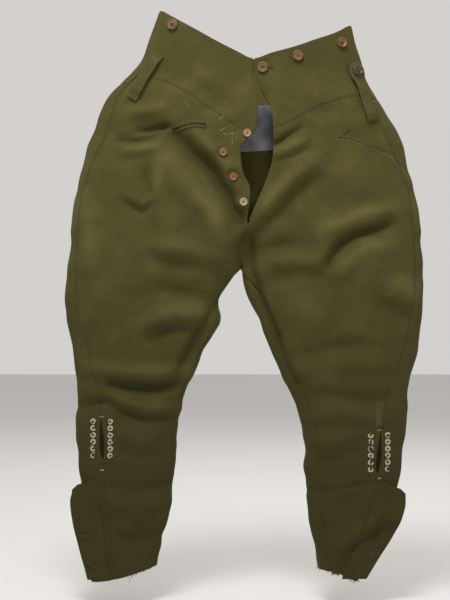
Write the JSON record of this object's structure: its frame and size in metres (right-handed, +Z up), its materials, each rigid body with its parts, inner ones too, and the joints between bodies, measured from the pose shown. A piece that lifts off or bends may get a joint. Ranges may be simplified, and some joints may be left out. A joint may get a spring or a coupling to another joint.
{
  "type": "riding breeches",
  "caption": "Wool riding breeches with a high peaked waistband, open button fly, flared thighs and slit calves with lace eyelets and wrap-over ankle flaps.",
  "frame": {"origin": "middle of the front waist edge, on the garment's mid-depth plane, at the height of the waist button", "axes": "+Z up along the hanging garment, +X towards the wearer's left, -Y out of the front"},
  "size_m": [0.6109, 0.1166, 0.9737],
  "materials": {
    "serge": "matt felted wool serge, olive drab",
    "olive_twill": "matt cotton twill, darker olive",
    "grey_lining": "smooth cotton lining, slate grey-blue",
    "brown_button": "polished, mottled brown",
    "tan_button": "polished, mottled tan",
    "eyelet_thread": "worn off-white buttonhole thread"
  },
  "bodies": {
    "trunk": {"back_belt_loops": "serge", "belt_tab_button": "brown_button", "brace_buttons_back": "brown_button", "brace_buttons_front": "brown_button", "fly_button_stand": "grey_lining", "fly_buttons": "tan_button", "left_back_hip": "serge", "left_back_lining": "grey_lining", "left_back_yoke": "serge", "left_front_hip": "serge", "left_front_lining": "grey_lining", "left_front_yoke": "serge", "left_pocket_bag": "olive_twill", "left_pocket_welt": "serge", "right_back_hip": "serge", "right_back_lining": "grey_lining", "right_back_yoke": "serge", "right_belt_loop": "serge", "right_front_hip": "serge", "right_front_lining": "grey_lining", "right_front_yoke": "serge", "right_pocket_bag": "olive_twill", "right_pocket_welt": "serge", "waist_button": "brown_button", "waist_underlap": "serge"},
    "front_flap": {"front_flap_yoke": "serge", "front_flap_fly": "serge", "front_flap_lining": "grey_lining", "fly_facing": "grey_lining", "flap_brace_button": "brown_button", "waist_buttonhole": "serge"},
    "belt_tab": {"left_belt_tab": "serge", "belt_tab_buttonhole": "serge"},
    "right_thigh": {"right_front_groin": "serge", "right_back_groin": "serge", "right_front_thigh": "serge", "right_back_thigh": "serge"},
    "right_calf": {"right_front_knee": "serge", "right_back_knee": "serge", "right_front_calf": "serge", "right_back_calf": "serge", "right_lace_facing": "olive_twill", "right_lace_eyelets": "eyelet_thread", "right_slit_gusset": "olive_twill", "right_ankle_buttons": "brown_button"},
    "right_ankle_flap": {"right_ankle_flap": "serge"},
    "left_thigh": {"left_front_groin": "serge", "left_back_groin": "serge", "left_front_thigh": "serge", "left_back_thigh": "serge"},
    "left_calf": {"left_front_knee": "serge", "left_back_knee": "serge", "left_front_calf": "serge", "left_back_calf": "serge", "left_lace_facing": "olive_twill", "left_lace_eyelets": "eyelet_thread", "left_slit_gusset": "olive_twill", "left_ankle_buttons": "brown_button"},
    "left_ankle_flap": {"left_ankle_flap": "serge"}
  },
  "joints": [
    {"name": "right_hip", "type": "hinge", "parent": "trunk", "child": "right_thigh", "pos_m": [-0.16, 0, -0.315], "axis": [-1, 0, 0], "range_deg": [-15, 70], "deforming": ["right_front_groin", "right_back_groin"]},
    {"name": "right_knee", "type": "hinge", "parent": "right_thigh", "child": "right_calf", "pos_m": [-0.19, 0, -0.5], "axis": [1, 0, 0], "range_deg": [0, 85], "deforming": ["right_front_knee", "right_back_knee"]},
    {"name": "left_hip", "type": "hinge", "parent": "trunk", "child": "left_thigh", "pos_m": [0.15, 0, -0.315], "axis": [-1, 0, 0], "range_deg": [-15, 70], "deforming": ["left_front_groin", "left_back_groin"]},
    {"name": "left_knee", "type": "hinge", "parent": "left_thigh", "child": "left_calf", "pos_m": [0.18, 0, -0.5], "axis": [1, 0, 0], "range_deg": [0, 85], "deforming": ["left_front_knee", "left_back_knee"]},
    {"name": "right_ankle_flap_hinge", "type": "hinge", "parent": "right_calf", "child": "right_ankle_flap", "pos_m": [-0.239, -0.0335, -0.777], "axis": [-0.1478, 0, 0.989], "range_deg": [0, 110]},
    {"name": "left_ankle_flap_hinge", "type": "hinge", "parent": "left_calf", "child": "left_ankle_flap", "pos_m": [0.197, -0.0335, -0.7795], "axis": [-0.3905, 0, -0.9206], "range_deg": [0, 110]},
    {"name": "front_flap_hinge", "type": "hinge", "parent": "trunk", "child": "front_flap", "pos_m": [0.0887, -0.05175, -0.085], "axis": [0.232, 0.0361, 0.972], "range_deg": [0, 100], "deforming": ["waist_buttonhole"]},
    {"name": "belt_tab_hinge", "type": "hinge", "parent": "trunk", "child": "belt_tab", "pos_m": [0.213, -0.0405, -0.09], "axis": [0.9509, 0, 0.3096], "range_deg": [0, 120], "deforming": ["belt_tab_buttonhole"]}
  ]
}
